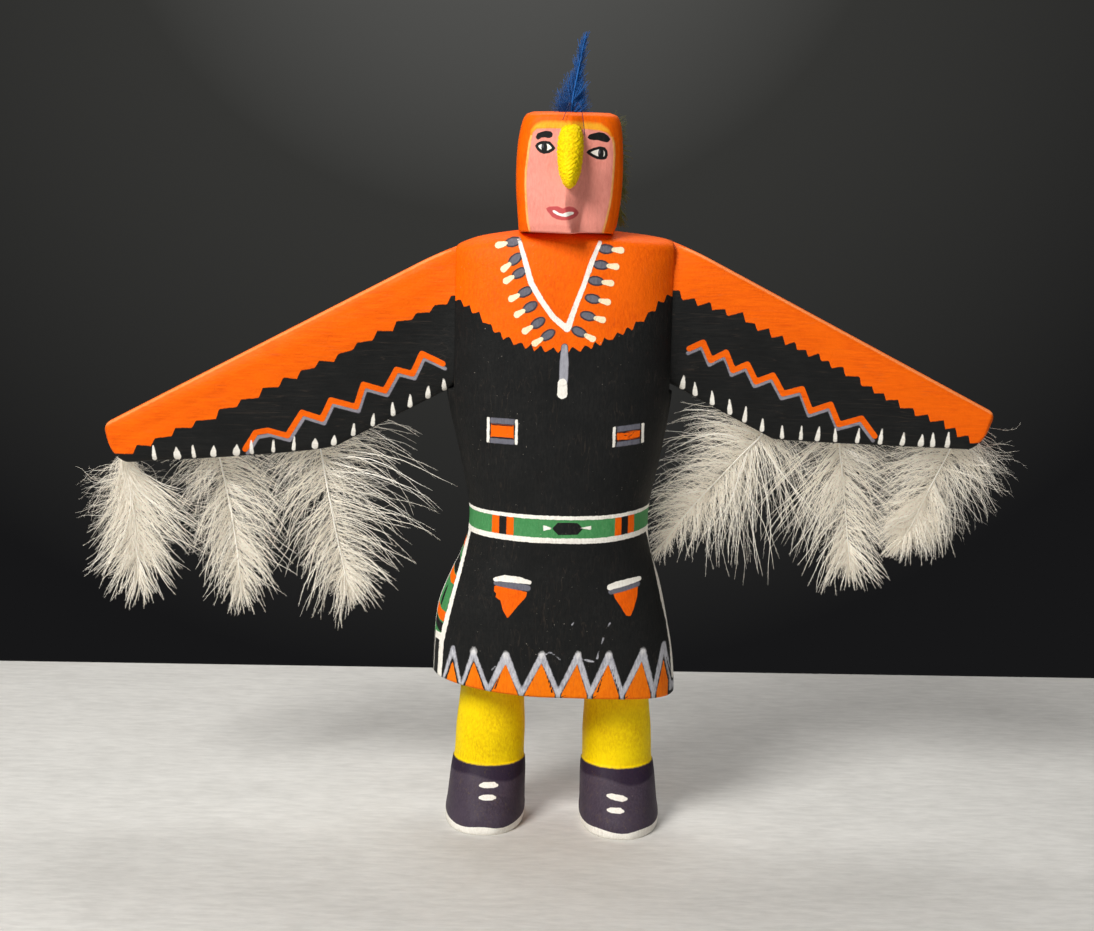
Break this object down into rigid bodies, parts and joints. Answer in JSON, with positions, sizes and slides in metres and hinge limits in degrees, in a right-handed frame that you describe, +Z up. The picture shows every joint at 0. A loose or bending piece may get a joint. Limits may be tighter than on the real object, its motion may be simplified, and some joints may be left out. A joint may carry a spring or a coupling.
{
  "type": "kachina doll",
  "caption": "Carved and painted wooden eagle dancer doll with spread board wings hung with white down feathers, standing on its own feet.",
  "frame": {"origin": "middle of the doll's box seen from above, on the plane of its soles", "axes": "+Z up, the face looks along -Y, the wings spread along X"},
  "size_m": [0.382, 0.0626, 0.3204],
  "materials": {
    "painted_body": "chalky hand-painted cottonwood: black, orange, pink, yellow and green",
    "painted_wing": "chalky hand-painted board: orange over black",
    "white_down": "soft off-white down",
    "blue_down": "dyed blue down",
    "green_down": "dyed yellow-green down"
  },
  "bodies": {
    "root": {"figure": "painted_body", "wing_right": "painted_wing", "wing_left": "painted_wing", "feather_right_outer": "white_down", "feather_right_middle": "white_down", "feather_right_inner": "white_down", "feather_left_inner": "white_down", "feather_left_middle": "white_down", "feather_left_outer": "white_down", "crest_feather": "blue_down", "nape_feather": "green_down"}
  },
  "joints": []
}
